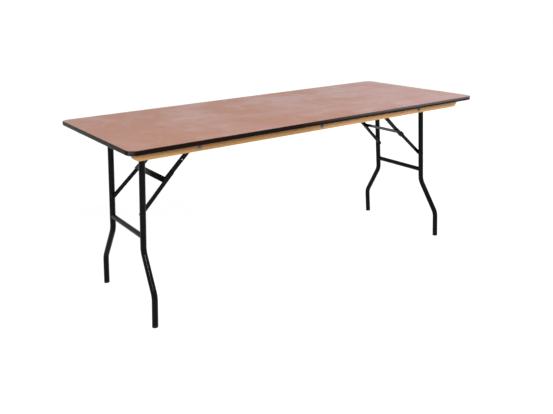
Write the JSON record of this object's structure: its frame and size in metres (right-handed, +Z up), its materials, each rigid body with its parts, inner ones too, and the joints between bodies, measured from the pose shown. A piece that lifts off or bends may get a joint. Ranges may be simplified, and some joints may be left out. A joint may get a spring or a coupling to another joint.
{
  "type": "folding banquet table",
  "caption": "Rectangular banquet table: wood top with a dark edge band and side rails, on bent tube leg sets that fold flat under it on jointed braces.",
  "frame": {"origin": "centre of the bounding box's base: on the floor, midway between the four feet", "axes": "+X along the length of the top, +Y from the near long side to the far one, +Z up"},
  "size_m": [1.829, 0.762, 0.762],
  "materials": {
    "top_plywood": "satin varnish",
    "edge_band": "satin",
    "rail_wood": "clear varnish",
    "black_steel": "semi-gloss powder coat",
    "stop_bar_steel": "semi-gloss powder coat",
    "black_rivets": "satin",
    "bright_rivets": "bright",
    "zinc_fasteners": "zinc plated",
    "foot_plastic": "matte"
  },
  "bodies": {
    "top": {"table_top": "top_plywood", "edge_band": "edge_band", "side_rail_near": "rail_wood", "side_rail_far": "rail_wood", "rail_bracket_near_left": "black_steel", "rail_bracket_near_middle": "black_steel", "rail_bracket_near_right": "black_steel", "rail_bracket_far_left": "black_steel", "rail_bracket_far_middle": "black_steel", "rail_bracket_far_right": "black_steel", "rail_bolts": "zinc_fasteners", "rail_washers": "zinc_fasteners", "rail_nuts": "zinc_fasteners", "wood_screws": "zinc_fasteners", "pivot_saddle_left_near": "black_steel", "pivot_saddle_left_far": "black_steel", "brace_hinge_left_near": "black_steel", "brace_hinge_left_far": "black_steel", "hinge_pins_left": "black_rivets", "pivot_saddle_right_near": "black_steel", "pivot_saddle_right_far": "black_steel", "brace_hinge_right_near": "black_steel", "brace_hinge_right_far": "black_steel", "hinge_pins_right": "black_rivets"},
    "leg_set_left": {"pivot_tube_left": "black_steel", "lower_crossbar_left": "black_steel", "leg_left_near": "black_steel", "leg_left_far": "black_steel", "foot_plug_left_near": "foot_plastic", "foot_plug_left_far": "foot_plastic", "leg_pins_left": "black_rivets"},
    "upper_brace_left": {"upper_strut_left_near": "black_steel", "upper_strut_left_far": "black_steel", "stop_bar_left": "stop_bar_steel", "strut_rivets_left": "bright_rivets", "knee_rivets_upper_left": "black_rivets"},
    "lower_brace_left": {"lower_strut_left_near": "black_steel", "lower_strut_left_far": "black_steel", "knee_rivets_lower_left": "black_rivets"},
    "leg_set_right": {"pivot_tube_right": "black_steel", "lower_crossbar_right": "black_steel", "leg_right_near": "black_steel", "leg_right_far": "black_steel", "foot_plug_right_near": "foot_plastic", "foot_plug_right_far": "foot_plastic", "leg_pins_right": "black_rivets"},
    "upper_brace_right": {"upper_strut_right_near": "black_steel", "upper_strut_right_far": "black_steel", "stop_bar_right": "stop_bar_steel", "strut_rivets_right": "bright_rivets", "knee_rivets_upper_right": "black_rivets"},
    "lower_brace_right": {"lower_strut_right_near": "black_steel", "lower_strut_right_far": "black_steel", "knee_rivets_lower_right": "black_rivets"}
  },
  "joints": [
    {"name": "leg_fold_left", "type": "hinge", "parent": "top", "child": "leg_set_left", "pos_m": [-0.774, 0, 0.7297], "axis": [0, -1, 0], "range_deg": [0, 94.31]},
    {"name": "upper_brace_fold_left", "type": "hinge", "parent": "top", "child": "upper_brace_left", "pos_m": [-0.4875, 0, 0.7297], "axis": [0, 1, 0], "range_deg": [0, 42.78]},
    {"name": "lower_brace_fold_left", "type": "hinge", "parent": "leg_set_left", "child": "lower_brace_left", "pos_m": [-0.79548, 0, 0.4447], "axis": [0, -1, 0], "range_deg": [0, 42.91]},
    {"name": "leg_fold_right", "type": "hinge", "parent": "top", "child": "leg_set_right", "pos_m": [0.774, 0, 0.7297], "axis": [0, 1, 0], "range_deg": [0, 94.31]},
    {"name": "upper_brace_fold_right", "type": "hinge", "parent": "top", "child": "upper_brace_right", "pos_m": [0.4875, 0, 0.7297], "axis": [0, -1, 0], "range_deg": [0, 42.78]},
    {"name": "lower_brace_fold_right", "type": "hinge", "parent": "leg_set_right", "child": "lower_brace_right", "pos_m": [0.79548, 0, 0.4447], "axis": [0, 1, 0], "range_deg": [0, 42.91]}
  ],
  "couplings": [
    {"joint": "upper_brace_fold_left", "follows": "leg_fold_left", "ratio": 0.45361},
    {"joint": "lower_brace_fold_left", "follows": "leg_fold_left", "ratio": 0.45498},
    {"joint": "upper_brace_fold_right", "follows": "leg_fold_right", "ratio": 0.45361},
    {"joint": "lower_brace_fold_right", "follows": "leg_fold_right", "ratio": 0.45498}
  ]
}
